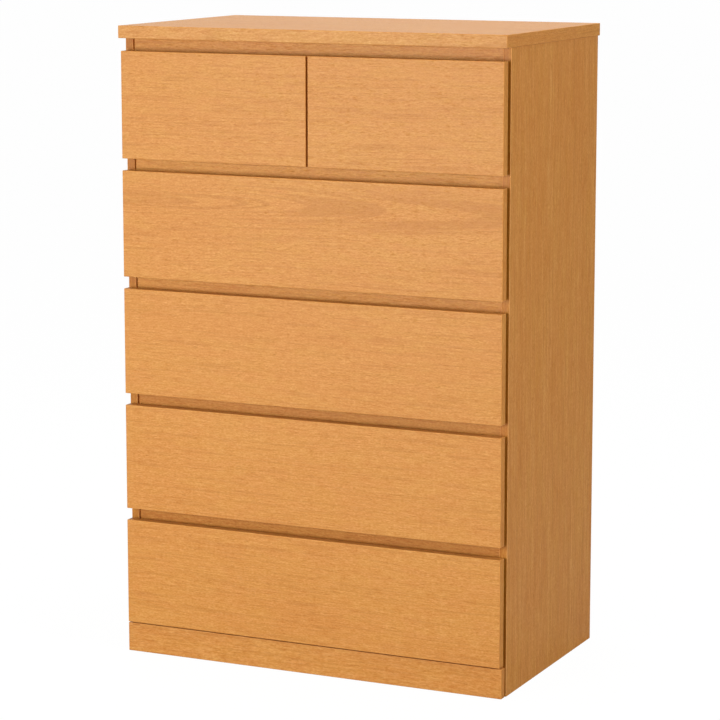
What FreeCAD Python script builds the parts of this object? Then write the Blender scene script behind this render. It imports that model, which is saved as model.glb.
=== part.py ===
import FreeCAD
import Part
import os

# A free-standing chest of six drawers in five rows: two small drawers side by side on top and
# four full-width drawers below them.  The fronts have no handles.  They stand one finger's
# width apart and are pulled by their edges.  The boards are veneered particle board held by
# cam fittings, and each drawer runs on a pair of bottom-mounted steel roller runners.
#
# Frame: the origin is on the floor under the middle of the chest, +Z is up, +X is to the right
# as seen from the front, and the drawer fronts face -Y.  All sizes are in millimetres.

# Overall size, which the top panel sets
WIDTH = 800.0
DEPTH = 480.0
HEIGHT = 1230.0
TOP_THICK = 24.0

# Carcass boards, with set-backs measured from the top panel's front and rear edges
BOARD = 16.0
SIDE_OUTER_X = 398.0
SIDE_FRONT_SETBACK = 25.5
SIDE_REAR_SETBACK = 6.0
RAIL_SETBACK = 30.5
RAIL_OVERLAP = 15.0
REAR_RAIL_HEIGHT = 60.0
BACK_THICK = 3.0
BACK_REBATE = 7.0
BACK_LOWER_Z = 20.0
PLINTH_HEIGHT = 57.0
PLINTH_WIDTH = 794.0
PLINTH_THICK = 20.5
PLINTH_REBATE = 5.5
EASED_EDGE = 1.2

# Drawer fronts
ROWS = 5
FRONT_HEIGHT = 206.0
FRONT_THICK = 20.0
FRONTS_WIDTH = 789.0
ROW_GAP = 23.0
PLINTH_GAP = 3.0
CENTRE_GAP = 4.0

# Drawer boxes
BOX_SIDE_CLEARANCE = 12.5
BOX_BOARD = 12.0
BOX_HEIGHT = 150.0
BOX_LIFT = 24.0
BOX_REAR_Y = 190.0
BOTTOM_THICK = 4.0
BOTTOM_LIFT = 10.0
GROOVE_DEPTH = 6.0
GROOVE_PLAY = 0.2

# Roller runners.  Their cross-section is given as distances from the wall of the bay and
# heights above the channel's underside.
STEEL = 1.2
CHANNEL_DROP = 2.0
CHANNEL_HEIGHT = 30.0
CHANNEL_LOWER_REACH = 10.5
CHANNEL_UPPER_REACH = 7.0
CHANNEL_FRONT_Y = -195.0
CHANNEL_REAR_Y = 205.0
CHANNEL_STOP_HEIGHT = 14.0
TRACK_REACH = 2.5
TRACK_UNDERSIDE = 18.8
TRACK_WEB_TOP = 26.0
TRACK_SEAT = 12.0
TRACK_FRONT_Y = -217.0
ROLLER_R = 8.0
ROLLER_WIDTH = 6.0
ROLLER_NEAR = 2.5
ROLLER_BORE_PLAY = 0.05
ROLLER_CHAMFER = 0.6
ROLL_PLAY = 0.3
AXLE_R = 2.0
AXLE_HEAD_R = 3.2
AXLE_HEAD_THICK = 0.8
FRONT_AXLE_Y = -183.0
REAR_AXLE_Y = 185.0

# Cam fittings: a round lock bored into a board's face and a bolt from the neighbouring board
CAM_R = 7.5
CAM_DEPTH = 12.5
CAM_SETBACK = 24.0
CAM_PLAY = 0.1
BOLT_AXIS_DEPTH = BOARD / 2
BOLT_SHANK_R = 3.0
BOLT_THREAD_R = 2.5
BOLT_THREAD_LENGTH = 11.0
BOLT_HEAD_INSET = 3.0
BOLT_PLAY = 0.3
TOP_CAM_YS = (-170.0, 0.0, 170.0)

# Two holes through the rear top rail and the back, for screws that tie the chest to a wall
WALL_HOLE_X = 300.0
WALL_HOLE_R = 2.5

# Levels and planes that follow from the sizes above
FRONT_Y = -DEPTH / 2
REAR_Y = DEPTH / 2
TOP_UNDERSIDE = HEIGHT - TOP_THICK
SIDE_INNER_X = SIDE_OUTER_X - BOARD
SIDE_FRONT_Y = FRONT_Y + SIDE_FRONT_SETBACK
SIDE_REAR_Y = REAR_Y - SIDE_REAR_SETBACK
RAIL_FRONT_Y = FRONT_Y + RAIL_SETBACK
RAIL_REAR_Y = RAIL_FRONT_Y + BOARD
BACK_FRONT_Y = SIDE_REAR_Y - BACK_THICK
REAR_RAIL_FRONT_Y = BACK_FRONT_Y - BOARD
BOX_FRONT_Y = FRONT_Y + FRONT_THICK
ROW_PITCH = FRONT_HEIGHT + ROW_GAP

X_AXIS = FreeCAD.Vector(1, 0, 0)
Y_AXIS = FreeCAD.Vector(0, 1, 0)
Z_AXIS = FreeCAD.Vector(0, 0, 1)


def board(x, y, z):
    """A rectangular board between the given pairs of X, Y and Z values."""
    corner = FreeCAD.Vector(min(x), min(y), min(z))
    return Part.makeBox(max(x) - min(x), max(y) - min(y), max(z) - min(z), corner)


def eased(shape):
    """The board with all its edges slightly rounded, as sanded edge banding is."""
    return shape.makeFillet(EASED_EDGE, shape.Edges)


def rod(radius, start, direction, length):
    """A round rod or the tool that bores a round hole."""
    return Part.makeCylinder(radius, length, start, direction)


def cut_all(shape, tools):
    """The shape with every tool cut out of it."""
    return shape.cut(Part.makeCompound(tools)) if tools else shape


def row_bottom(row):
    """The lower edge of a row's drawer fronts; row 1 is the top row."""
    return PLINTH_HEIGHT + PLINTH_GAP + (ROWS - row) * ROW_PITCH


def row_top(row):
    """The upper edge of a row's drawer fronts."""
    return row_bottom(row) + FRONT_HEIGHT


def drawer_list():
    """Each drawer's name, row, the X span of its front and the X span of its bay."""
    half = FRONTS_WIDTH / 2
    left = ("drawer_1_left", 1, (-half, -CENTRE_GAP / 2), (-SIDE_INNER_X, -BOARD / 2))
    right = ("drawer_1_right", 1, (CENTRE_GAP / 2, half), (BOARD / 2, SIDE_INNER_X))
    drawers = [left, right]
    for row in range(2, ROWS + 1):
        drawers.append((f"drawer_{row}", row, (-half, half), (-SIDE_INNER_X, SIDE_INNER_X)))
    return drawers


# ---- Cam fittings ---------------------------------------------------------------------------


def cam_fitting(on_face, into_board, to_neighbour):
    """A cam lock, its bolt, and the tools that bore both boards for them.

    on_face is the lock's centre on the face it is bored into, into_board points into that
    board, and to_neighbour points along the bolt to the neighbouring board, whose surface
    is CAM_SETBACK away."""
    lock = rod(CAM_R, on_face, into_board, CAM_DEPTH)
    axis_start = on_face + into_board * BOLT_AXIS_DEPTH
    head = axis_start + to_neighbour * BOLT_HEAD_INSET
    joint = axis_start + to_neighbour * CAM_SETBACK
    shank = rod(BOLT_SHANK_R, head, to_neighbour, CAM_SETBACK - BOLT_HEAD_INSET)
    thread = rod(BOLT_THREAD_R, joint, to_neighbour, BOLT_THREAD_LENGTH)
    slot = rod(BOLT_SHANK_R + BOLT_PLAY, axis_start, to_neighbour, CAM_SETBACK)
    lock_bore = rod(CAM_R + CAM_PLAY, on_face, into_board, CAM_DEPTH + CAM_PLAY)
    thread_bore = rod(BOLT_THREAD_R + CAM_PLAY, joint, to_neighbour, BOLT_THREAD_LENGTH + CAM_PLAY)
    return {
        "lock": lock.cut(slot),
        "bolt": shank.fuse(thread).removeSplitter(),
        "host_tools": [lock_bore, slot],
        "neighbour_tools": [thread_bore],
    }


def rail_cams(face_y, into_board, level):
    """The two fittings that hold a cross rail between the side panels."""
    fittings = []
    for sign in (-1, 1):
        on_face = FreeCAD.Vector(sign * (SIDE_INNER_X - CAM_SETBACK), face_y, level)
        fittings.append(cam_fitting(on_face, into_board, X_AXIS * sign))
    return fittings


def top_cams(sign):
    """The fittings that hold the top panel down on one side panel."""
    fittings = []
    for y in TOP_CAM_YS:
        on_face = FreeCAD.Vector(sign * SIDE_INNER_X, y, TOP_UNDERSIDE - CAM_SETBACK)
        fittings.append(cam_fitting(on_face, X_AXIS * sign, Z_AXIS))
    return fittings


def host_tools(fittings):
    return [tool for fitting in fittings for tool in fitting["host_tools"]]


def neighbour_tools(fittings):
    return [tool for fitting in fittings for tool in fitting["neighbour_tools"]]


# ---- Carcass --------------------------------------------------------------------------------


def cross_rails():
    """Each cross rail's name, front plane, lower and upper edge, and the way its cams face.

    A front rail closes the finger gap between two rows and stands on edge behind it."""
    rails = [("front_rail_top", RAIL_FRONT_Y, row_top(1) - RAIL_OVERLAP, TOP_UNDERSIDE, 1)]
    for row in range(1, ROWS):
        lower = row_top(row + 1) - RAIL_OVERLAP
        upper = row_bottom(row) + RAIL_OVERLAP
        rails.append((f"front_rail_{row}", RAIL_FRONT_Y, lower, upper, 1))
    divider_foot = row_bottom(1) + RAIL_OVERLAP
    for name, upper in (
        ("rear_top_rail", TOP_UNDERSIDE),
        ("divider_rear_rail", divider_foot),
        ("rear_bottom_rail", REAR_RAIL_HEIGHT),
    ):
        rails.append((name, REAR_RAIL_FRONT_Y, upper - REAR_RAIL_HEIGHT, upper, -1))
    return rails


def wall_hole_tools():
    """The two holes that run through the rear top rail and the back panel."""
    level = TOP_UNDERSIDE - REAR_RAIL_HEIGHT / 2
    tools = []
    for x in (-WALL_HOLE_X, WALL_HOLE_X):
        start = FreeCAD.Vector(x, REAR_RAIL_FRONT_Y, level)
        tools.append(rod(WALL_HOLE_R, start, Y_AXIS, SIDE_REAR_Y - REAR_RAIL_FRONT_Y))
    return tools


def side_panel(sign, tools):
    """A side panel that stands on the floor, eased along its two upright front edges and
    rebated along its rear edge for the back."""
    outer = sign * SIDE_OUTER_X
    inner = sign * SIDE_INNER_X
    panel = board((outer, inner), (SIDE_FRONT_Y, SIDE_REAR_Y), (0, TOP_UNDERSIDE))
    upright = [edge for edge in panel.Edges if edge.Length > DEPTH and edge.CenterOfMass.y < 0]
    panel = panel.makeFillet(EASED_EDGE, upright)
    rebate_x = (inner, inner + sign * BACK_REBATE)
    rebate = board(rebate_x, (BACK_FRONT_Y, SIDE_REAR_Y), (BACK_LOWER_Z, TOP_UNDERSIDE))
    return cut_all(panel, [rebate] + tools)


def back_panel():
    """The thin back, let into the side panels' rebates."""
    reach = SIDE_INNER_X + BACK_REBATE
    panel = board((-reach, reach), (BACK_FRONT_Y, SIDE_REAR_Y), (BACK_LOWER_Z, TOP_UNDERSIDE))
    return cut_all(panel, wall_hole_tools())


def centre_divider():
    """The board between the two small drawers, notched round the rails above and behind it."""
    x = (-BOARD / 2, BOARD / 2)
    foot = row_bottom(1) + RAIL_OVERLAP
    panel = board(x, (RAIL_FRONT_Y, BACK_FRONT_Y), (foot, TOP_UNDERSIDE))
    front_notch = board(x, (RAIL_FRONT_Y, RAIL_REAR_Y), (row_top(1) - RAIL_OVERLAP, TOP_UNDERSIDE))
    rear_notch = board(
        x, (REAR_RAIL_FRONT_Y, BACK_FRONT_Y), (TOP_UNDERSIDE - REAR_RAIL_HEIGHT, TOP_UNDERSIDE)
    )
    return cut_all(panel, [front_notch, rear_notch])


def plinth():
    """The board under the bottom drawer, across the side panels' front edges.  A rebate behind
    each end leaves the same shadow gap there as behind the drawer fronts."""
    reach = PLINTH_WIDTH / 2
    panel = board((-reach, reach), (SIDE_FRONT_Y - PLINTH_THICK, SIDE_FRONT_Y), (0, PLINTH_HEIGHT))
    rebates = []
    for sign in (-1, 1):
        x = (sign * reach, sign * (reach - PLINTH_REBATE))
        rebates.append(board(x, (SIDE_FRONT_Y - PLINTH_REBATE, SIDE_FRONT_Y), (0, PLINTH_HEIGHT)))
    return cut_all(eased(panel), rebates)


def carcass_nodes():
    """Every fixed board of the carcass and the fittings that join them."""
    nodes = {}
    fittings = []
    for name, front_y, lower, upper, cam_side in cross_rails():
        face_y = front_y + BOARD if cam_side > 0 else front_y
        level = (lower + upper) / 2
        cams = rail_cams(face_y, Y_AXIS * -cam_side, level)
        rail = board((-SIDE_INNER_X, SIDE_INNER_X), (front_y, front_y + BOARD), (lower, upper))
        holes = wall_hole_tools() if name == "rear_top_rail" else []
        nodes[name] = cut_all(rail, host_tools(cams) + holes)
        fittings += cams
    rail_bolt_holes = neighbour_tools(fittings)
    top_bolt_holes = []
    for name, sign in (("side_panel_left", -1), ("side_panel_right", 1)):
        cams = top_cams(sign)
        nodes[name] = side_panel(sign, rail_bolt_holes + host_tools(cams))
        top_bolt_holes += neighbour_tools(cams)
        fittings += cams
    top = board((-WIDTH / 2, WIDTH / 2), (FRONT_Y, REAR_Y), (TOP_UNDERSIDE, HEIGHT))
    nodes["top_panel"] = cut_all(eased(top), top_bolt_holes)
    nodes["centre_divider"] = centre_divider()
    nodes["plinth"] = plinth()
    nodes["back_panel"] = back_panel()
    nodes["cam_locks"] = Part.makeCompound([fitting["lock"] for fitting in fittings])
    nodes["cam_bolts"] = Part.makeCompound([fitting["bolt"] for fitting in fittings])
    return nodes


# ---- Roller runners -------------------------------------------------------------------------


def from_wall(wall, sign, near, far):
    """The X span between two distances from a bay's wall; sign points into the bay."""
    return (wall + sign * near, wall + sign * far)


def axle(x_start, sign, y, z, reach):
    """A riveted axle with a flat head, growing from x_start along X."""
    base = FreeCAD.Vector(x_start, y, z)
    pin = rod(AXLE_R, base, X_AXIS * sign, reach)
    head_base = base + X_AXIS * sign * reach
    return pin.fuse(rod(AXLE_HEAD_R, head_base, X_AXIS * sign, AXLE_HEAD_THICK))


def front_axle_height(foot):
    """The height of a channel roller's axle: the roller's top carries the drawer's track."""
    return foot + TRACK_UNDERSIDE - ROLL_PLAY - ROLLER_R


def rear_axle_height(foot):
    """The height of a drawer roller's axle: the roller runs on the channel's lower flange."""
    return foot + STEEL + ROLL_PLAY + ROLLER_R


def channel(wall, sign, foot):
    """The cabinet half of a runner: a C-shaped channel with an axle near its front end."""
    y = (CHANNEL_FRONT_Y, CHANNEL_REAR_Y)
    web = board(from_wall(wall, sign, 0, STEEL), y, (foot, foot + CHANNEL_HEIGHT))
    lower = board(from_wall(wall, sign, 0, CHANNEL_LOWER_REACH), y, (foot, foot + STEEL))
    top = foot + CHANNEL_HEIGHT
    upper = board(from_wall(wall, sign, 0, CHANNEL_UPPER_REACH), y, (top - STEEL, top))
    stop_x = from_wall(wall, sign, 0, CHANNEL_LOWER_REACH)
    stop_y = (CHANNEL_REAR_Y - STEEL, CHANNEL_REAR_Y)
    stop = board(stop_x, stop_y, (foot, foot + CHANNEL_STOP_HEIGHT))
    pin_reach = ROLLER_NEAR + ROLLER_WIDTH + ROLL_PLAY - STEEL
    pin = axle(wall + sign * STEEL, sign, FRONT_AXLE_Y, front_axle_height(foot), pin_reach)
    return web.multiFuse([lower, upper, stop, pin]).removeSplitter()


def track(wall, sign, foot):
    """The drawer half of a runner: it seats the drawer side and has an axle at its rear end."""
    y = (TRACK_FRONT_Y, BOX_REAR_Y)
    web_x = from_wall(wall, sign, BOX_SIDE_CLEARANCE - STEEL, BOX_SIDE_CLEARANCE)
    seat_top = foot + CHANNEL_DROP
    web = board(web_x, y, (seat_top - STEEL, foot + TRACK_WEB_TOP))
    seat_x = from_wall(wall, sign, BOX_SIDE_CLEARANCE - STEEL, BOX_SIDE_CLEARANCE + TRACK_SEAT)
    seat = board(seat_x, y, (seat_top - STEEL, seat_top))
    flange_x = from_wall(wall, sign, TRACK_REACH, BOX_SIDE_CLEARANCE)
    underside = foot + TRACK_UNDERSIDE
    flange = board(flange_x, y, (underside, underside + STEEL))
    pin_start = BOX_SIDE_CLEARANCE - STEEL
    pin_reach = pin_start - ROLLER_NEAR + ROLL_PLAY
    height = rear_axle_height(foot)
    pin = axle(wall + sign * pin_start, -sign, REAR_AXLE_Y, height, pin_reach)
    return web.multiFuse([seat, flange, pin]).removeSplitter()


def roller(wall, sign, y, z):
    """A nylon roller with chamfered rims, free to turn on its axle."""
    x = from_wall(wall, sign, ROLLER_NEAR, ROLLER_NEAR + ROLLER_WIDTH)
    base = FreeCAD.Vector(min(x), y, z)
    wheel = rod(ROLLER_R, base, X_AXIS, ROLLER_WIDTH)
    rims = [edge for edge in wheel.Edges if isinstance(edge.Curve, Part.Circle)]
    wheel = wheel.makeChamfer(ROLLER_CHAMFER, rims)
    return wheel.cut(rod(AXLE_R + ROLLER_BORE_PLAY, base, X_AXIS, ROLLER_WIDTH))


def bay_walls(bay):
    """The two walls of a bay, each with the sign of the direction into the bay."""
    return ((bay[0], 1), (bay[1], -1))


def roller_pair(bay, y, z):
    return Part.makeCompound([roller(wall, sign, y, z) for wall, sign in bay_walls(bay)])


def channel_foot(row):
    """The underside of a row's runner channels."""
    return row_bottom(row) + BOX_LIFT - CHANNEL_DROP


def channel_nodes():
    """All the channels, grouped by the hand of the bay wall that they are screwed to."""
    left = []
    right = []
    for _, row, _, bay in drawer_list():
        foot = channel_foot(row)
        left.append(channel(bay[0], 1, foot))
        right.append(channel(bay[1], -1, foot))
    return {
        "cabinet_runners_left": Part.makeCompound(left),
        "cabinet_runners_right": Part.makeCompound(right),
    }


# ---- Drawers --------------------------------------------------------------------------------


def drawer_nodes(name, row, front_x, bay):
    """The front, box and tracks of one drawer, and the two pairs of rollers it runs on."""
    foot = channel_foot(row)
    low = row_bottom(row) + BOX_LIFT
    high = low + BOX_HEIGHT
    left = bay[0] + BOX_SIDE_CLEARANCE
    right = bay[1] - BOX_SIDE_CLEARANCE
    inner = (left + BOX_BOARD, right - BOX_BOARD)
    floor = low + BOTTOM_LIFT
    groove_z = (floor, floor + BOTTOM_THICK + GROOVE_PLAY)
    bottom_x = (inner[0] - GROOVE_DEPTH, inner[1] + GROOVE_DEPTH)
    bottom_front_y = BOX_FRONT_Y - GROOVE_DEPTH
    groove = board(bottom_x, (bottom_front_y, BOX_REAR_Y), groove_z)

    panel = eased(board(front_x, (FRONT_Y, BOX_FRONT_Y), (row_bottom(row), row_top(row))))
    sides = []
    for x in ((left, inner[0]), (inner[1], right)):
        sides.append(board(x, (BOX_FRONT_Y, BOX_REAR_Y), (low, high)).cut(groove))
    back_y = (BOX_REAR_Y - BOX_BOARD, BOX_REAR_Y)
    back_low = floor + BOTTOM_THICK + GROOVE_PLAY
    bottom_z = (floor, floor + BOTTOM_THICK)
    tracks = [track(wall, sign, foot) for wall, sign in bay_walls(bay)]
    return {
        f"{name}_front": panel.cut(groove),
        f"{name}_sides": Part.makeCompound(sides),
        f"{name}_back": board(inner, back_y, (back_low, high)),
        f"{name}_bottom": board(bottom_x, (bottom_front_y, BOX_REAR_Y), bottom_z),
        f"{name}_runners": Part.makeCompound(tracks),
        f"{name}_front_rollers": roller_pair(bay, FRONT_AXLE_Y, front_axle_height(foot)),
        f"{name}_rear_rollers": roller_pair(bay, REAR_AXLE_Y, rear_axle_height(foot)),
    }


def all_nodes():
    """Every node of the chest and its shape."""
    nodes = carcass_nodes()
    nodes.update(channel_nodes())
    for drawer in drawer_list():
        nodes.update(drawer_nodes(*drawer))
    return nodes


os.makedirs("parts", exist_ok=True)
for node, shape in all_nodes().items():
    shape.exportStep(f"parts/{node}.step")
    print(node, len(shape.Solids), "solids", round(shape.Volume / 1000, 1), "cm3", shape.isValid())
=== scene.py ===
import math
import random

import bmesh
import bpy
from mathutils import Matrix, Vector


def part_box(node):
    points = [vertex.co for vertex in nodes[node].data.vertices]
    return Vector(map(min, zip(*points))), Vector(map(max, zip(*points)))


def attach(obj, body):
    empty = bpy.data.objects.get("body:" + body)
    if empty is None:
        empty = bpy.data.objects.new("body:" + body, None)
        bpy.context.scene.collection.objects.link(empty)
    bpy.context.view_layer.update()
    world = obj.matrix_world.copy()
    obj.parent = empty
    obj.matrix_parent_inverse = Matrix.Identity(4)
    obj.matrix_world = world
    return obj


# A tall chest of six drawers in oak veneer.  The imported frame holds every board, runner, roller
# and cam fitting; this script gives each of them its material, adds the small fixings that ride
# on them and lights the chest in a plain studio.  All sizes are in metres.

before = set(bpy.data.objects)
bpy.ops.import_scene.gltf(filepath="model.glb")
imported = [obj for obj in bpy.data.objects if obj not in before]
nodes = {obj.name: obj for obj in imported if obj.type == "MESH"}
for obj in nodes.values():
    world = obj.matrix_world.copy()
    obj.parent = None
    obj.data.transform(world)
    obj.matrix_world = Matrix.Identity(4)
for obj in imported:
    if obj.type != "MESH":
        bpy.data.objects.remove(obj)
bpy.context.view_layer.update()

MM = 0.001
AXES = "XYZ"
DRAWERS = ["drawer_1_left", "drawer_1_right"] + [f"drawer_{row}" for row in range(2, 6)]
FRONT_RAILS = ["front_rail_top"] + [f"front_rail_{row}" for row in range(1, 5)]
REAR_RAILS = ["rear_top_rail", "divider_rear_rail", "rear_bottom_rail"]


# ---- Material building blocks ---------------------------------------------------------------


class Shader:
    """One procedural material, built node by node round a Principled shader."""

    def __init__(self, name, **settings):
        self.material = bpy.data.materials.new(name)
        self.material.use_nodes = True
        self.tree = self.material.node_tree
        self.surface = self.tree.nodes["Principled BSDF"]
        coords = self.tree.nodes.new("ShaderNodeTexCoord")
        self.place = self.split(coords.outputs["Object"])
        self.normal = self.split(coords.outputs["Normal"])
        for socket, value in settings.items():
            self.surface.inputs[socket.replace("_", " ")].default_value = value

    def node(self, kind, inputs=(), **settings):
        made = self.tree.nodes.new(kind)
        for key, value in settings.items():
            setattr(made, key, value)
        for socket, value in dict(inputs).items():
            self.put(made.inputs[socket], value)
        return made

    def put(self, socket, value):
        if isinstance(value, bpy.types.NodeSocket):
            self.tree.links.new(value, socket)
        elif isinstance(value, tuple):
            socket.default_value = (*value, 1.0)
        else:
            socket.default_value = value

    def split(self, vector):
        made = self.tree.nodes.new("ShaderNodeSeparateXYZ")
        self.tree.links.new(vector, made.inputs[0])
        return list(made.outputs)

    def math(self, operation, a, b=0.0):
        return self.node("ShaderNodeMath", {0: a, 1: b}, operation=operation).outputs[0]

    def add(self, *terms):
        total = terms[0]
        for term in terms[1:]:
            total = self.math("ADD", total, term)
        return total

    def times(self, a, b):
        return self.math("MULTIPLY", a, b)

    def size(self, a):
        return self.math("ABSOLUTE", a)

    def blend(self, share, a, b):
        """a where share is 0 and b where it is 1, for plain numbers."""
        return self.add(a, self.times(share, self.math("SUBTRACT", b, a)))

    def noise(self, spot, scales, detail=2.0, roughness=0.5):
        """Smooth noise between about -0.5 and 0.5.  spot is three coordinates in metres and
        scales gives the features per metre along each of them."""
        spot = [self.times(place, scale) for place, scale in zip(spot, scales)]
        vector = self.node("ShaderNodeCombineXYZ", dict(enumerate(spot))).outputs[0]
        inputs = {"Vector": vector, "Scale": 1.0, "Detail": detail, "Roughness": roughness}
        made = self.node("ShaderNodeTexNoise", inputs)
        return self.math("SUBTRACT", made.outputs[0], 0.5)

    def step(self, value, low, high):
        """0 below low, 1 above high and a smooth rise between them."""
        inputs = {"Value": value, "From Min": low, "From Max": high}
        made = self.node("ShaderNodeMapRange", inputs, interpolation_type="SMOOTHSTEP")
        return made.outputs[0]

    def ramp(self, value, stops):
        """A colour ramp; stops are (place, colour) pairs."""
        made = self.node("ShaderNodeValToRGB", {0: value})
        elements = made.color_ramp.elements
        while len(elements) < len(stops):
            elements.new(0.5)
        for element, (place, colour) in zip(elements, stops):
            element.position = place
            element.color = (*colour, 1.0)
        return made.outputs[0]

    def tint(self, share, colour, other, how="MIX"):
        """colour turned towards another colour by share."""
        inputs = {0: share, 6: colour, 7: other}
        made = self.node("ShaderNodeMix", data_type="RGBA", blend_type=how)
        for socket, value in inputs.items():
            self.put(made.inputs[socket], value)
        return made.outputs[2]

    def arris(self):
        """1 on the rounded edges between flat faces and 0 on the faces."""
        largest = self.size(self.normal[0])
        for axis in (1, 2):
            largest = self.math("MAXIMUM", largest, self.size(self.normal[axis]))
        return self.math("SUBTRACT", 1.0, self.step(largest, 0.86, 0.97))

    def relief(self, height, depth):
        """Turns a height between 0 and 1 into bumps that many metres deep."""
        inputs = {"Height": height, "Distance": depth, "Strength": 1.0}
        made = self.node("ShaderNodeBump", inputs)
        self.put(self.surface.inputs["Normal"], made.outputs[0])

    def finish(self, colour, roughness):
        self.put(self.surface.inputs["Base Color"], colour)
        self.put(self.surface.inputs["Roughness"], roughness)
        return self.material


# ---- Oak veneer -----------------------------------------------------------------------------

# The colours of the wood, of its pores and growth rings, and of the lighter edges, partly wear and
# partly a painted highlight on the rounded arrises
OAK_DARK = (0.490, 0.152, 0.014)
OAK_MID = (0.608, 0.250, 0.051)
OAK_LIGHT = (0.735, 0.360, 0.108)
OAK_PORE = (0.310, 0.088, 0.008)
OAK_RING = (0.400, 0.130, 0.014)
OAK_WORN_EDGE_HIGHLIGHT = (0.940, 0.470, 0.160)

# What the colour is multiplied by in yellower patches; on the edge bands of the upright boards, a
# darker band with painted shade added for the recess behind the drawer fronts; and on the front and
# rear edges of the top, a painted sheen that pales and cools them
OAK_YELLOW = (0.99, 1.02, 0.95)
EDGE_BAND_AND_SHADE = (0.75, 0.64, 0.27)
TOP_EDGE_SHEEN = (1.00, 1.07, 1.22)

# The layers of the figure: features per metre along, across and through the leaf of veneer.
# A ring's three are outwards from the heart, along the grain and through the leaf.
DRIFT = (1.6, 5.0, 5.0)
WAVER = (9.0, 38.0, 38.0)
RING = (150.0, 1.5, 1.0)
BREAKS = (16.0, 95.0, 95.0)
BAND = (8.0, 110.0, 110.0)
STREAK = (45.0, 300.0, 300.0)
FIBRE = (190.0, 500.0, 500.0)
CLOUD = (3.5, 11.0, 11.0)
PATCH = (15.0, 50.0, 50.0)
FLECK = (75.0, 330.0, 330.0)
PORE = (65.0, 1100.0, 1100.0)

# How strongly each layer lightens the tone, in which 0 is OAK_DARK and 1 is OAK_LIGHT
TONE_START = 0.53
RING_TONE = 0.13
BAND_TONE = 0.12
STREAK_TONE = 0.88
FIBRE_TONE = 1.14
CLOUD_TONE = 0.16
PATCH_TONE = 0.03
FLECK_TONE = 0.12

# A leaf cut far from the heart has straight grain.  The cut passes HEART_DEPTH from the heart and
# slopes away from it along the grain.  End grain and each seed take their noise from another place.
STRAIGHT = -0.9
HEART_SLOPE = 0.05
HEART_DEPTH = 22 * MM
LEAF_SHIFT = 0.37
SEED_SHIFT = 3.7

# How far the drift and the waver bend the grain sideways, and how far the drift lifts the cut
# from the heart, in metres per unit of noise
DRIFT_BEND = 0.030
WAVER_BEND = 0.0040
DRIFT_LIFT = 0.02


def oak(name, grain, thickness, seed, heart=STRAIGHT, figure=1.0, face_tint_shade_sheen=None, edge_wear_highlight=0.2):
    """Satin oak veneer.  grain and thickness are axes, and heart is where across the grain the
    leaf was cut nearest to the middle of the tree, which is where its cathedral figure stands.
    figure strengthens the rings and bands. The face tint is multiplied into the front and rear
    faces and holds, for the uprights, a darker edge band with painted shade added, for the front
    rails painted shade, and for the top a painted sheen. The edge weight lightens the arrises,
    partly as wear and partly as a painted highlight."""
    s = Shader(name, IOR=1.45, Specular_IOR_Level=0.28)
    across = next(axis for axis in AXES if axis not in grain + thickness)
    along_place = s.place[AXES.index(grain)]
    across_place = s.place[AXES.index(across)]
    thick_place = s.place[AXES.index(thickness)]
    end = s.step(s.size(s.normal[AXES.index(grain)]), 0.6, 0.8)
    u = s.blend(end, along_place, across_place)
    v = s.blend(end, across_place, s.add(thick_place, LEAF_SHIFT))
    w = s.add(s.blend(end, thick_place, along_place), seed * SEED_SHIFT)

    drift = s.noise((u, v, w), DRIFT)
    waver = s.noise((u, v, w), WAVER)
    v_bent = s.add(v, s.times(drift, DRIFT_BEND), s.times(waver, WAVER_BEND))
    spot = (u, v_bent, w)

    depth = s.add(s.times(u, HEART_SLOPE), s.times(drift, DRIFT_LIFT), HEART_DEPTH)
    offset = s.math("SUBTRACT", v_bent, heart)
    radius = s.math("SQRT", s.add(s.times(offset, offset), s.times(depth, depth)))
    ring = s.noise((radius, u, w), RING, 1.0)
    line = s.math("SUBTRACT", 1.0, s.step(s.size(ring), 0.01, 0.07))
    broken = s.step(s.noise(spot, BREAKS, 1.0), -0.20, 0.15)
    near_heart = s.math("SUBTRACT", 1.0, s.step(s.size(offset), 0.015, 0.05))
    line = s.times(line, s.math("MAXIMUM", broken, near_heart))

    band = s.noise(spot, BAND, 1.0)
    streak = s.noise(spot, STREAK, 2.0, 0.6)
    fibre = s.noise(spot, FIBRE, 2.0, 0.6)
    cloud = s.noise((u, v, w), CLOUD)
    patch = s.noise((u, v, w), PATCH, 1.0)
    fleck = s.step(s.noise(spot, FLECK, 1.0), 0.12, 0.24)
    pore = s.step(s.noise(spot, PORE, 1.0), 0.10, 0.18)
    pore = s.times(pore, s.blend(s.step(ring, -0.12, 0.12), 0.35, 1.0))

    tone = s.add(
        TONE_START,
        s.times(ring, RING_TONE * figure),
        s.times(band, BAND_TONE * figure),
        s.times(streak, STREAK_TONE),
        s.times(fibre, FIBRE_TONE),
        s.times(cloud, CLOUD_TONE),
        s.times(patch, PATCH_TONE),
        s.times(fleck, FLECK_TONE),
    )
    colour = s.ramp(tone, [(0.0, OAK_DARK), (0.5, OAK_MID), (1.0, OAK_LIGHT)])
    yellow = s.step(s.add(patch, s.times(cloud, 0.8)), -0.16, 0.22)
    colour = s.tint(yellow, colour, OAK_YELLOW, "MULTIPLY")
    colour = s.tint(s.times(line, s.add(0.27, s.times(near_heart, 0.05))), colour, OAK_RING)
    colour = s.tint(s.times(pore, 0.40), colour, OAK_PORE)
    # The front and rear faces take the face tint: a darker edge band with painted shade added,
    # painted shade on the rails, a painted sheen on the top's edges
    if face_tint_shade_sheen:
        colour = s.tint(s.step(s.size(s.normal[1]), 0.85, 0.97), colour, face_tint_shade_sheen, "MULTIPLY")
    # Painted highlight, with some wear, that lightens the rounded arrises
    colour = s.tint(s.times(s.arris(), edge_wear_highlight), colour, OAK_WORN_EDGE_HIGHLIGHT)

    s.relief(s.add(s.times(pore, -0.8), s.times(fibre, 0.5), 0.5), 0.12 * MM)
    return s.finish(colour, s.add(0.44, s.times(pore, 0.2), s.times(streak, 0.15)))


# ---- Foil, hardboard, coated steel, zinc and nylon --------------------------------------------

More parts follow.
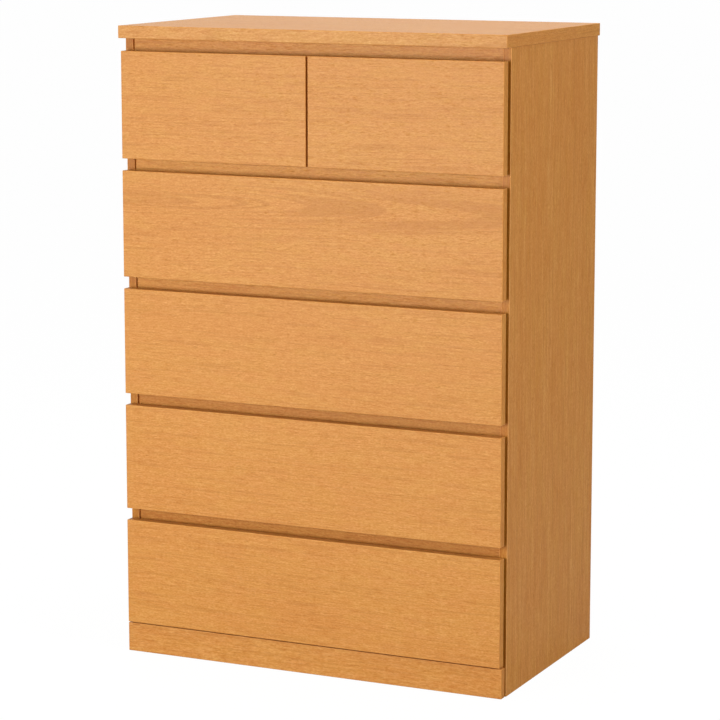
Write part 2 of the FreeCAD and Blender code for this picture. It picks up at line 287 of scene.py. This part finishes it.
FOIL_PALE = (0.720, 0.675, 0.590)
FOIL_SHADE = (0.640, 0.585, 0.490)
FIBRE_DARK = (0.165, 0.088, 0.042)
FIBRE_MID = (0.290, 0.168, 0.088)
FIBRE_LIGHT = (0.440, 0.285, 0.165)
PAINT_PALE = (0.690, 0.640, 0.550)
PAINT_SHADE = (0.610, 0.555, 0.465)
STEEL_COAT = (0.760, 0.755, 0.725)
STEEL_BARE = (0.430, 0.430, 0.420)
ZINC_DARK = (0.420, 0.425, 0.430)
ZINC_LIGHT = (0.700, 0.700, 0.690)
NYLON_PALE = (0.740, 0.735, 0.700)
NYLON_SHADE = (0.660, 0.650, 0.600)


def foil(name, grain, seed):
    """Matt cream foil with a faint embossed grain along one axis."""
    s = Shader(name, IOR=1.45, Specular_IOR_Level=0.4)
    scales = [4.0 if axis == grain else 150.0 for axis in AXES]
    spot = [s.add(place, seed * SEED_SHIFT) for place in s.place]
    print_tone = s.noise(spot, scales, 3.0, 0.6)
    emboss = s.noise(spot, [60.0 if axis == grain else 1300.0 for axis in AXES])
    smudge = s.noise(spot, (6.0, 6.0, 6.0), 3.0)
    tone = s.add(0.5, s.times(print_tone, 0.7), s.times(emboss, 0.4), s.times(smudge, 0.5))
    colour = s.ramp(tone, [(0.1, FOIL_SHADE), (0.9, FOIL_PALE)])
    colour = s.tint(s.times(s.arris(), 0.3), colour, FOIL_SHADE)
    s.relief(s.add(emboss, 0.5), 0.06 * MM)
    return s.finish(colour, s.add(0.48, s.times(smudge, 0.12), s.times(emboss, 0.1)))


def hardboard(name, painted, sign, seed):
    """Thin fibreboard: bare and mottled, and painted pale on the face towards sign on an axis."""
    s = Shader(name, IOR=1.45, Specular_IOR_Level=0.35)
    spot = [s.add(place, seed * SEED_SHIFT) for place in s.place]
    fibre = s.noise(spot, (420.0, 420.0, 420.0), 4.0, 0.7)
    tangle = s.noise(spot, (130.0, 900.0, 210.0), 3.0, 0.65)
    mottle = s.noise(spot, (14.0, 14.0, 14.0), 3.0)
    chip = s.step(s.noise(spot, (240.0, 240.0, 700.0), 1.0), 0.13, 0.2)
    tone = s.add(0.5, s.times(fibre, 0.8), s.times(tangle, 0.7), s.times(mottle, 0.4))
    bare = s.ramp(tone, [(0.15, FIBRE_DARK), (0.5, FIBRE_MID), (0.85, FIBRE_LIGHT)])
    bare = s.tint(s.times(chip, 0.35), bare, FIBRE_LIGHT)
    paint = s.ramp(s.add(0.5, mottle, s.times(fibre, 0.5)), [(0.2, PAINT_SHADE), (0.8, PAINT_PALE)])
    face = s.step(s.times(s.normal[AXES.index(painted)], sign), 0.5, 0.8)
    s.relief(s.add(0.5, s.times(fibre, s.blend(face, 1.0, 0.3))), 0.15 * MM)
    return s.finish(s.tint(face, bare, paint), s.blend(face, s.add(0.78, s.times(fibre, 0.2)), 0.5))


def coated_steel():
    """White epoxy coat with the fine orange peel of powder, rubbed grey along the edges."""
    s = Shader("coated_steel", IOR=1.5)
    peel = s.noise(s.place, (900.0, 900.0, 900.0), 1.0)
    rub = s.noise(s.place, (500.0, 18.0, 500.0), 3.0, 0.65)
    dirt = s.noise(s.place, (30.0, 12.0, 30.0), 3.0)
    worn = s.step(s.add(rub, s.times(s.arris(), 0.12)), 0.13, 0.2)
    colour = s.tint(s.times(s.step(dirt, -0.1, 0.4), 0.12), STEEL_COAT, STEEL_BARE)
    colour = s.tint(s.times(worn, 0.5), colour, STEEL_BARE)
    s.relief(s.add(peel, 0.5), 0.05 * MM)
    return s.finish(colour, s.add(0.34, s.times(dirt, 0.2), s.times(worn, 0.15)))


def zinc():
    """Bright zinc plating with a cloudy bloom."""
    s = Shader("zinc", Metallic=1.0)
    bloom = s.noise(s.place, (260.0, 260.0, 260.0), 3.0, 0.6)
    grit = s.noise(s.place, (2400.0, 2400.0, 2400.0), 1.0)
    colour = s.ramp(s.add(0.5, bloom, s.times(grit, 0.3)), [(0.2, ZINC_DARK), (0.8, ZINC_LIGHT)])
    s.relief(s.add(grit, 0.5), 0.03 * MM)
    return s.finish(colour, s.add(0.36, s.times(bloom, 0.35)))


def nylon():
    """Moulded off-white nylon."""
    s = Shader("nylon", IOR=1.53)
    haze = s.noise(s.place, (120.0, 120.0, 120.0), 3.0)
    grain = s.noise(s.place, (1800.0, 1800.0, 1800.0), 2.0)
    colour = s.ramp(s.add(0.5, haze, s.times(grain, 0.3)), [(0.2, NYLON_SHADE), (0.8, NYLON_PALE)])
    s.relief(s.add(grain, 0.5), 0.03 * MM)
    return s.finish(colour, s.add(0.46, s.times(haze, 0.25)))


# ---- Which material each board gets -----------------------------------------------------------

# Where across the grain each drawer front's cathedral figure stands, as a height above the floor
FRONT_HEART = {
    "drawer_1_left": STRAIGHT,
    "drawer_1_right": 1.30,
    "drawer_2": 0.905,
    "drawer_3": 0.40,
    "drawer_4": STRAIGHT,
    "drawer_5": 0.02,
}

# Painted shade on each front rail, where it stands in the gap behind the drawer fronts: what its
# colour is multiplied by, darkest and least blue on the two lowest
RAIL_PAINTED_SHADE = {
    "front_rail_top": (0.97, 0.97, 0.80),
    "front_rail_1": (1.04, 1.05, 0.82),
    "front_rail_2": (1.01, 0.99, 0.78),
    "front_rail_3": (0.89, 0.83, 0.60),
    "front_rail_4": (0.84, 0.76, 0.50),
}

# The upright boards have stronger figure than the drawer fronts, a darker edge band with painted
# shade added, and paler arrises, partly worn and partly a painted highlight
UPRIGHT = {"figure": 3.2, "face_tint_shade_sheen": EDGE_BAND_AND_SHADE, "edge_wear_highlight": 0.8}
PLINTH_SEED = 51

STEEL_COATED = coated_steel()
ZINC_PLATED = zinc()
NYLON_MOULDED = nylon()


def dress(node, material):
    """Gives a carried-over node its material."""
    slots = nodes[node].material_slots
    if not slots:
        nodes[node].data.materials.append(material)
    for slot in slots:
        slot.material = material


def dress_all():
    seed = 1
    for drawer in DRAWERS:
        dress(f"{drawer}_front", oak(f"oak_{drawer}", "X", "Y", seed, FRONT_HEART[drawer]))
        dress(f"{drawer}_sides", foil(f"foil_{drawer}_sides", "Y", seed))
        dress(f"{drawer}_back", foil(f"foil_{drawer}_back", "X", seed))
        dress(f"{drawer}_bottom", hardboard(f"hardboard_{drawer}", "Z", 1, seed))
        dress(f"{drawer}_runners", STEEL_COATED)
        dress(f"{drawer}_front_rollers", NYLON_MOULDED)
        dress(f"{drawer}_rear_rollers", NYLON_MOULDED)
        seed += 1
    dress("plinth", oak("oak_plinth", "X", "Y", PLINTH_SEED))
    # Each front rail gets painted shade for the gap it stands in behind the drawer fronts
    for node in FRONT_RAILS:
        dress(node, oak(f"oak_{node}", "X", "Y", seed, face_tint_shade_sheen=RAIL_PAINTED_SHADE[node]))
        seed += 1
    for node in ("side_panel_left", "side_panel_right", "centre_divider"):
        dress(node, oak(f"oak_{node}", "Z", "X", seed, **UPRIGHT))
        seed += 1
    # The top's front and rear edges get a painted sheen
    dress("top_panel", oak("oak_top_panel", "X", "Z", seed, face_tint_shade_sheen=TOP_EDGE_SHEEN))
    for node in REAR_RAILS:
        dress(node, foil(f"foil_{node}", "X", seed))
        seed += 1
    dress("back_panel", hardboard("hardboard_back", "Y", -1, seed))
    for node in ("cabinet_runners_left", "cabinet_runners_right"):
        dress(node, STEEL_COATED)
    for node in ("cam_locks", "cam_bolts"):
        dress(node, ZINC_PLATED)


dress_all()


# ---- Small fixings ----------------------------------------------------------------------------

# Outlines of turned fixings, from the foot of the rim to the middle: the radius and the height
# above the face it sits on, in millimetres, and the share of the radius that the driver's cross
# cuts away between its four lobes.
NAIL_HEAD = [
    (2.6, -0.3, 0),
    (2.6, 0.25, 0),
    (2.3, 0.5, 0),
    (1.2, 0.62, 0),
    (0.0, 0.65, 0),
]
FLAT_SCREW = [
    (4.0, -0.2, 0),
    (4.0, 0.5, 0),
    (3.6, 0.85, 0),
    (2.0, 0.9, 0.55),
    (1.1, 0.2, 0.3),
    (0.0, 0.1, 0),
]
PAN_SCREW = [
    (4.0, -0.2, 0),
    (4.0, 0.9, 0),
    (3.5, 1.5, 0),
    (1.9, 1.8, 0.55),
    (1.0, 0.8, 0.3),
    (0.0, 0.7, 0),
]
CAM_FACE = [
    (7.5, -0.3, 0),
    (7.5, 0.15, 0),
    (7.1, 0.35, 0),
    (4.2, 0.35, 0.6),
    (3.4, -0.2, 0.6),
    (0.0, -0.25, 0),
]
TURNS = 32


def turned(mesh, centre, axis, outline, spin):
    """Adds one turned fixing whose head points along axis, turned by spin about it."""
    turn = Vector(axis).to_track_quat("Z", "Y").to_matrix()
    rings = []
    for radius, height, lobes in outline:
        ring = []
        for step in range(TURNS):
            angle = 2 * math.pi * step / TURNS
            reach = radius * (1 - lobes * math.sin(2 * (angle - spin)) ** 2) * MM
            spot = Vector((reach * math.cos(angle), reach * math.sin(angle), height * MM))
            ring.append(mesh.verts.new(Vector(centre) + turn @ spot))
            if radius == 0:
                break
        rings.append(ring)
    for outer, inner in zip(rings, rings[1:]):
        for step in range(TURNS):
            after = (step + 1) % TURNS
            corners = [outer[step], outer[after]]
            corners += [inner[0]] if len(inner) == 1 else [inner[after], inner[step]]
            mesh.faces.new(corners)
    mesh.faces.new(list(reversed(rings[0])))


def add_piece(name, mesh, body, material):
    """Turns a finished bmesh into a piece that rides on a body."""
    data = bpy.data.meshes.new(name)
    mesh.to_mesh(data)
    mesh.free()
    data.materials.append(material)
    piece = bpy.data.objects.new(name, data)
    bpy.context.scene.collection.objects.link(piece)
    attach(piece, body)


def fixings(name, body, outline, places, rng):
    """One piece that holds a group of like fixings; places are (centre, axis) pairs."""
    mesh = bmesh.new()
    for centre, axis in places:
        turned(mesh, centre, axis, outline, rng.uniform(0, math.pi))
    add_piece(name, mesh, body, ZINC_PLATED)


def evenly(start, end, spacing):
    """Places between start and end, both included, at most spacing apart."""
    count = max(1, math.ceil(abs(end - start) / spacing))
    return [start + (end - start) * step / count for step in range(count + 1)]


NAIL_INSET = 3.5 * MM
NAIL_COLUMN_INSET = 15 * MM
NAIL_ROW_INSET = 60 * MM
NAIL_SPACING = 115 * MM
NAIL_SLACK = 1.5 * MM
NAIL_SLACK_SIDEWAYS = 0.4
WALL_HOLE_X = 300 * MM
HOLE_MARGIN = 20 * MM


def back_nails():
    """The nails that hold the thin back to the side panels, the rear rails and the divider."""
    rng = random.Random(41)
    low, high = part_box("back_panel")
    bottom = low[2] + NAIL_COLUMN_INSET
    top = high[2] - NAIL_COLUMN_INSET
    columns = [(x, bottom, top) for x in (low[0] + NAIL_INSET, high[0] - NAIL_INSET)]
    rail_levels = []
    for rail in REAR_RAILS:
        rail_low, rail_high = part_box(rail)
        rail_levels.append((max(rail_low[2], low[2]) + rail_high[2]) / 2)
    columns.append((0.0, rail_levels[1] + NAIL_SPACING / 2, rail_levels[0] - NAIL_SPACING / 2))
    spots = [(x, z) for x, start, end in columns for z in evenly(start, end, NAIL_SPACING)]
    for level in rail_levels:
        row = evenly(low[0] + NAIL_ROW_INSET, high[0] - NAIL_ROW_INSET, NAIL_SPACING)
        spots += [(x, level) for x in row]
    holes = [(side * WALL_HOLE_X, rail_levels[0]) for side in (-1, 1)]
    places = []
    for x, z in spots:
        x += rng.uniform(-NAIL_SLACK_SIDEWAYS, NAIL_SLACK_SIDEWAYS) * NAIL_SLACK
        z += rng.uniform(-1, 1) * NAIL_SLACK
        if min(math.dist((x, z), hole) for hole in holes) > HOLE_MARGIN:
            places.append(((x, high[1], z), (0, 1, 0)))
    fixings("back_nails", "carcass", NAIL_HEAD, places, rng)


ROLLER_TO_WALL = 2.5 * MM
STEEL_THICK = 1.2 * MM
SEAT_FROM_WALL = 19.0 * MM
SEAT_UNDER_AXLE = 9.7 * MM
CHANNEL_SCREW_UNDER_AXLE = 1 * MM
CHANNEL_SCREW_FROM_FRONT = 45 * MM
CHANNEL_SCREW_FROM_REAR = 30 * MM
CHANNEL_SCREW_SPACING = 170 * MM
TRACK_SCREW_FROM_FRONT = 30 * MM
TRACK_SCREW_FROM_REAR = 60 * MM


def runner_screws():
    """The screws that hold each channel to its wall and each drawer to its two tracks."""
    rng = random.Random(7)
    channel_low, channel_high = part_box("cabinet_runners_left")
    first = channel_low[1] + CHANNEL_SCREW_FROM_FRONT
    last = channel_high[1] - CHANNEL_SCREW_FROM_REAR
    channel_spots = []
    for drawer in DRAWERS:
        low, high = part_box(f"{drawer}_front_rollers")
        axle = (low[2] + high[2]) / 2
        walls = ((low[0] - ROLLER_TO_WALL, 1), (high[0] + ROLLER_TO_WALL, -1))
        side_low, side_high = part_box(f"{drawer}_sides")
        seat_spots = []
        for wall, inward in walls:
            for y in evenly(first, last, CHANNEL_SCREW_SPACING):
                screw = (wall + inward * STEEL_THICK, y, axle - CHANNEL_SCREW_UNDER_AXLE)
                channel_spots.append((screw, (inward, 0, 0)))
            for y in (side_low[1] + TRACK_SCREW_FROM_FRONT, side_high[1] - TRACK_SCREW_FROM_REAR):
                seat = (wall + inward * SEAT_FROM_WALL, y, axle - SEAT_UNDER_AXLE)
                seat_spots.append((seat, (0, 0, -1)))
        fixings(f"{drawer}_track_screws", drawer, PAN_SCREW, seat_spots, rng)
    fixings("channel_screws", "carcass", FLAT_SCREW, channel_spots, rng)


SIDE_BOARD = 12 * MM
CAM_FROM_FRONT = 26 * MM
CAM_FROM_EDGE = 34 * MM


def drawer_cams():
    """The cams let into the inner faces of each drawer's sides, which draw the front tight."""
    rng = random.Random(23)
    for drawer in DRAWERS:
        low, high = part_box(f"{drawer}_sides")
        places = []
        for x, inward in ((low[0] + SIDE_BOARD, 1), (high[0] - SIDE_BOARD, -1)):
            for z in (low[2] + CAM_FROM_EDGE, high[2] - CAM_FROM_EDGE):
                places.append(((x, low[1] + CAM_FROM_FRONT, z), (inward, 0, 0)))
        fixings(f"{drawer}_cams", drawer, CAM_FACE, places, rng)


TAPE_WIDTH = 38 * MM
TAPE_THICK = 0.25 * MM
TAPE_FOLD_LIFT = 0.1 * MM
TAPE_EDGE_LIFT = -0.1 * MM
TAPE_SWAY = 0.3 * MM
TAPE_STEPS = 60

# Where the tape's lengthwise lines run, as shares of its width from the fold
TAPE_LINES = (-0.5, -0.49, -0.03, 0.0, 0.03, 0.49, 0.5)


def back_tape():
    """The tape over the fold in the back, which is packed as two leaves hinged together."""
    rng = random.Random(5)
    low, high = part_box("back_panel")
    mesh = bmesh.new()
    rows = []
    for step in range(TAPE_STEPS + 1):
        z = low[2] + (high[2] - low[2]) * step / TAPE_STEPS
        sway = rng.uniform(-1, 1) * TAPE_SWAY
        row = []
        for across in TAPE_LINES:
            lift = TAPE_THICK
            if abs(across) == 0.5:
                lift = TAPE_EDGE_LIFT
            if across == 0.0:
                lift = TAPE_FOLD_LIFT
            row.append(mesh.verts.new((across * TAPE_WIDTH + sway, high[1] + lift, z)))
        rows.append(row)
    for lower, upper in zip(rows, rows[1:]):
        for left in range(len(lower) - 1):
            mesh.faces.new((lower[left + 1], lower[left], upper[left], upper[left + 1]))
    add_piece("back_tape", mesh, "carcass", foil("foil_tape", "Z", 40))


back_nails()
runner_screws()
drawer_cams()
back_tape()


# ---- Studio -----------------------------------------------------------------------------------

CAMERA_PLACE = (2.239, -4.796, 1.490)
CAMERA_TURN = (90.0 - 9.21, 0.0, 25.05)
CAMERA_LENS = 136.9
CAMERA_SENSOR = 36.0
CAMERA_SHIFT_Y = -0.04
CAMERA_REACH = 300.0

# The backdrop shines in the directions whose cosine with BACKDROP_TOWARDS is past the edge
WHITE = (1.0, 1.0, 1.0)
ROOM = 0.34
BACKDROP = 1.10
BACKDROP_TOWARDS = (-0.55, 0.835, 0.0)
BACKDROP_EDGE = 0.62
BACKDROP_FULL = 0.95

# Each lamp's power in watts, its place, its width and height, and its colour
LAMPS = {
    "key": (138.0, (-1.3, -4.2, 0.95), (2.4, 1.7), WHITE),
    "fill": (100.0, (4.4, -1.2, 2.2), (2.0, 2.0), (1.0, 0.95, 0.82)),
    "top": (60.0, (0.0, 0.2, 3.8), (2.0, 2.0), (0.93, 0.98, 1.0)),
}
AIM = (0.0, 0.0, 0.62)

# The paper's share of even white, and how far its shaded part inside the chest reaches under the
# boards that stand round it
FLOOR_REACH = 60.0
FLOOR_PALE = (0.38, 0.38, 0.38)
PAPER_GLOW = 1.06
PAPER_WHITE = 0.92
UNDER_BOARDS = 6 * MM


def world_light():
    """A dim even room with a bright backdrop behind the chest, and plain white to look at."""
    world = bpy.data.worlds.new("studio")
    bpy.context.scene.world = world
    world.use_nodes = True
    tree = world.node_tree
    lit = tree.nodes["Background"]
    seen = tree.nodes.new("ShaderNodeBackground")
    coords = tree.nodes.new("ShaderNodeTexCoord")
    facing = tree.nodes.new("ShaderNodeVectorMath")
    facing.operation = "DOT_PRODUCT"
    facing.inputs[1].default_value = BACKDROP_TOWARDS
    tree.links.new(coords.outputs["Generated"], facing.inputs[0])
    brightness = tree.nodes.new("ShaderNodeMapRange")
    brightness.interpolation_type = "SMOOTHSTEP"
    brightness.inputs["From Min"].default_value = BACKDROP_EDGE
    brightness.inputs["From Max"].default_value = BACKDROP_FULL
    brightness.inputs["To Min"].default_value = ROOM
    brightness.inputs["To Max"].default_value = BACKDROP
    tree.links.new(facing.outputs["Value"], brightness.inputs["Value"])
    tree.links.new(brightness.outputs[0], lit.inputs["Strength"])
    lit.inputs["Color"].default_value = (*WHITE, 1.0)
    seen.inputs["Color"].default_value = (*WHITE, 1.0)
    paths = tree.nodes.new("ShaderNodeLightPath")
    chosen = tree.nodes.new("ShaderNodeMixShader")
    tree.links.new(paths.outputs["Is Camera Ray"], chosen.inputs[0])
    tree.links.new(lit.outputs[0], chosen.inputs[1])
    tree.links.new(seen.outputs[0], chosen.inputs[2])
    tree.links.new(chosen.outputs[0], tree.nodes["World Output"].inputs["Surface"])


def lamps():
    for name, (energy, place, (width, height), colour) in LAMPS.items():
        data = bpy.data.lights.new(name, "AREA")
        data.energy = energy
        data.color = colour
        data.shape = "RECTANGLE"
        data.size = width
        data.size_y = height
        made = bpy.data.objects.new(name, data)
        made.location = place
        made.rotation_euler = (Vector(AIM) - made.location).to_track_quat("-Z", "Y").to_euler()
        bpy.context.scene.collection.objects.link(made)


def floor():
    """Pale paper, most of whose shadow is lost in its own whiteness, except inside the chest."""
    data = bpy.data.meshes.new("floor")
    quarters = ((-1, -1), (1, -1), (1, 1), (-1, 1))
    corners = [(x * FLOOR_REACH, y * FLOOR_REACH, 0) for x, y in quarters]
    data.from_pydata(corners, [], [(0, 1, 2, 3)])
    made = bpy.data.objects.new("floor", data)
    bpy.context.scene.collection.objects.link(made)
    s = Shader("floor_paper")
    data.materials.append(s.finish(FLOOR_PALE, 0.8))
    glow = s.node("ShaderNodeEmission", {"Strength": PAPER_GLOW})
    paths = s.node("ShaderNodeLightPath")
    half_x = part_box("side_panel_right")[0][0] + UNDER_BOARDS
    half_y = UNDER_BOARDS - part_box("plinth")[1][1]
    past_x = s.math("GREATER_THAN", s.size(s.place[0]), half_x)
    past_y = s.math("GREATER_THAN", s.size(s.place[1]), half_y)
    share = s.times(paths.outputs["Is Camera Ray"], PAPER_WHITE)
    share = s.times(share, s.math("MAXIMUM", past_x, past_y))
    mixed = s.node("ShaderNodeMixShader", {0: share, 1: s.surface.outputs[0], 2: glow.outputs[0]})
    s.put(s.tree.nodes["Material Output"].inputs["Surface"], mixed.outputs[0])


def camera():
    data = bpy.data.cameras.new("camera")
    data.sensor_width = CAMERA_SENSOR
    data.lens = CAMERA_LENS
    data.shift_y = CAMERA_SHIFT_Y
    data.clip_end = CAMERA_REACH
    made = bpy.data.objects.new("camera", data)
    made.location = CAMERA_PLACE
    made.rotation_euler = [math.radians(angle) for angle in CAMERA_TURN]
    bpy.context.scene.collection.objects.link(made)
    bpy.context.scene.camera = made


world_light()
lamps()
floor()
camera()
bpy.context.scene.view_settings.view_transform = "Standard"
